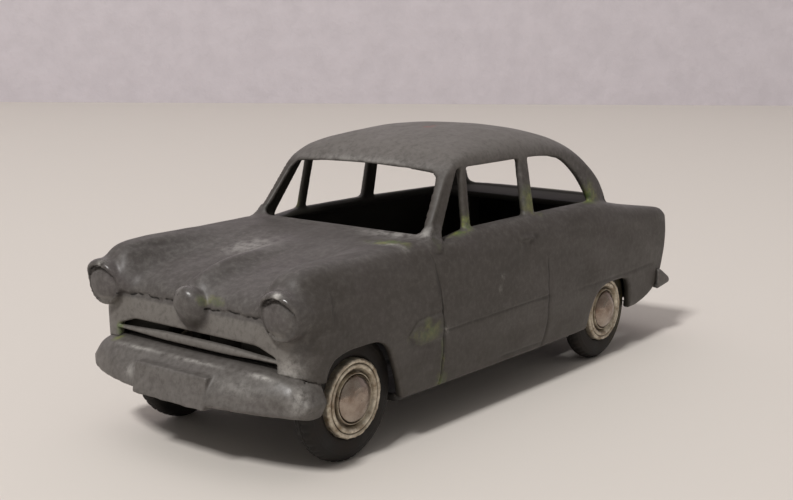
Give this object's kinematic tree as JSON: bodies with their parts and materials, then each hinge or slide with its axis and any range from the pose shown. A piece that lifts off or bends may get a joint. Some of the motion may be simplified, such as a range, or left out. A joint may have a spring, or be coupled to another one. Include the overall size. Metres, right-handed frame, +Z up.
{
  "type": "diecast collector car",
  "caption": "Small-scale diecast saloon car: hollow cast shell with open windows, separate bumpers, riveted base plate and rubber-tyred wheels that roll on two axles.",
  "frame": {"origin": "under the middle of the overall length and width, on the plane that the tyres stand on", "axes": "+X from the nose to the tail, +Y from the car's left side to its right side, +Z up"},
  "size_m": [0.0944, 0.035, 0.0357],
  "materials": {
    "primer": "satin grey primer, brushed on",
    "base_paint": "dull dark paint",
    "steel": "drawn steel",
    "wheel_metal": "turned, dulled",
    "cap_metal": "polished, dulled",
    "rubber": "aged black rubber"
  },
  "bodies": {
    "shell": {"body_shell": "primer", "front_bumper": "primer", "rear_bumper": "primer", "base_plate": "base_paint", "front_rivet": "steel", "rear_rivet": "steel"},
    "front_wheelset": {"front_axle": "steel", "front_left_tyre": "rubber", "front_right_tyre": "rubber", "front_left_hub": "wheel_metal", "front_right_hub": "wheel_metal", "front_left_hub_cap": "cap_metal", "front_right_hub_cap": "cap_metal"},
    "rear_wheelset": {"rear_axle": "steel", "rear_left_tyre": "rubber", "rear_right_tyre": "rubber", "rear_left_hub": "wheel_metal", "rear_right_hub": "wheel_metal", "rear_left_hub_cap": "cap_metal", "rear_right_hub_cap": "cap_metal"}
  },
  "joints": [
    {"name": "front_wheels_roll", "type": "hinge", "parent": "shell", "child": "front_wheelset", "pos_m": [-0.0333, 0, 0.0076], "axis": [0, 1, 0], "continuous": true},
    {"name": "rear_wheels_roll", "type": "hinge", "parent": "shell", "child": "rear_wheelset", "pos_m": [0.0245, 0, 0.0076], "axis": [0, 1, 0], "continuous": true}
  ]
}
